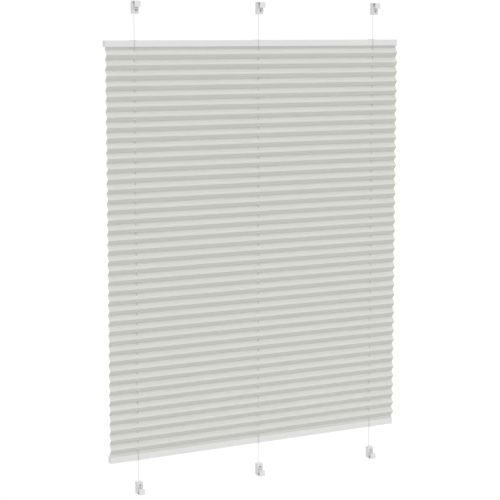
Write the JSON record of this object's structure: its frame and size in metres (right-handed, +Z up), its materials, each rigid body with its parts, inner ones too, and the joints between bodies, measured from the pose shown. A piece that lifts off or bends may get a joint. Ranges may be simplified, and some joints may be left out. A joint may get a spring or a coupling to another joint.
{
  "type": "pleated blind",
  "caption": "Pleated fabric blind with a top and a bottom rail that slide on taut vertical cords held by clamp brackets on a window sash.",
  "frame": {"origin": "middle of the lined seat in the top middle clamp hook, where it sits on the sash", "axes": "+X along the rails to the right as seen from the hook side, +Y away from the hooks towards the blind, +Z up"},
  "size_m": [1, 0.0465, 1.465],
  "materials": {
    "rail_aluminium": "satin powder coat, pale grey",
    "cap_plastic": "fine matt moulded",
    "strip_plastic": "extruded, plain",
    "guide_plastic": "fine matt moulded",
    "brake_rubber": "soft matt",
    "pleated_cloth": "woven polyester, crisp pressed pleats",
    "cord_yarn": "fine braid",
    "bracket_plastic": "fine matt moulded",
    "hook_steel": "satin powder coat, pale grey",
    "screw_steel": "dark zinc plate",
    "ferrule_brass": "nickel-free, crimped",
    "pad_rubber": "soft matt foam rubber"
  },
  "bodies": {
    "window_side": {"bottom_bracket_left": "bracket_plastic", "bottom_bracket_middle": "bracket_plastic", "bottom_bracket_right": "bracket_plastic", "bottom_clamp_hook_left": "hook_steel", "bottom_clamp_hook_middle": "hook_steel", "bottom_clamp_hook_right": "hook_steel", "cord_ferrules": "ferrule_brass", "cord_left": "cord_yarn", "cord_middle": "cord_yarn", "cord_right": "cord_yarn", "cord_screws": "screw_steel", "hook_screws": "screw_steel", "sash_pads": "pad_rubber", "top_bracket_left": "bracket_plastic", "top_bracket_middle": "bracket_plastic", "top_bracket_right": "bracket_plastic", "top_clamp_hook_left": "hook_steel", "top_clamp_hook_middle": "hook_steel", "top_clamp_hook_right": "hook_steel"},
    "top_rail_set": {"top_brake_pads": "brake_rubber", "top_cord_guide_left": "guide_plastic", "top_cord_guide_middle": "guide_plastic", "top_cord_guide_right": "guide_plastic", "top_fabric_strip": "strip_plastic", "top_rail": "rail_aluminium", "top_rail_cap_left": "cap_plastic", "top_rail_cap_right": "cap_plastic", "pleated_fabric": "pleated_cloth"},
    "bottom_rail_set": {"bottom_brake_pads": "brake_rubber", "bottom_cord_guide_left": "guide_plastic", "bottom_cord_guide_middle": "guide_plastic", "bottom_cord_guide_right": "guide_plastic", "bottom_fabric_strip": "strip_plastic", "bottom_rail": "rail_aluminium", "bottom_rail_cap_left": "cap_plastic", "bottom_rail_cap_right": "cap_plastic"}
  },
  "joints": [
    {"name": "top_rail_slide", "type": "slide", "parent": "window_side", "child": "top_rail_set", "axis": [0, 0, 1], "range_m": [-0.062, 0.075]},
    {"name": "bottom_rail_slide", "type": "slide", "parent": "top_rail_set", "child": "bottom_rail_set", "axis": [0, 0, 1], "range_m": [0, 1.15], "deforming": ["pleated_fabric"]}
  ]
}
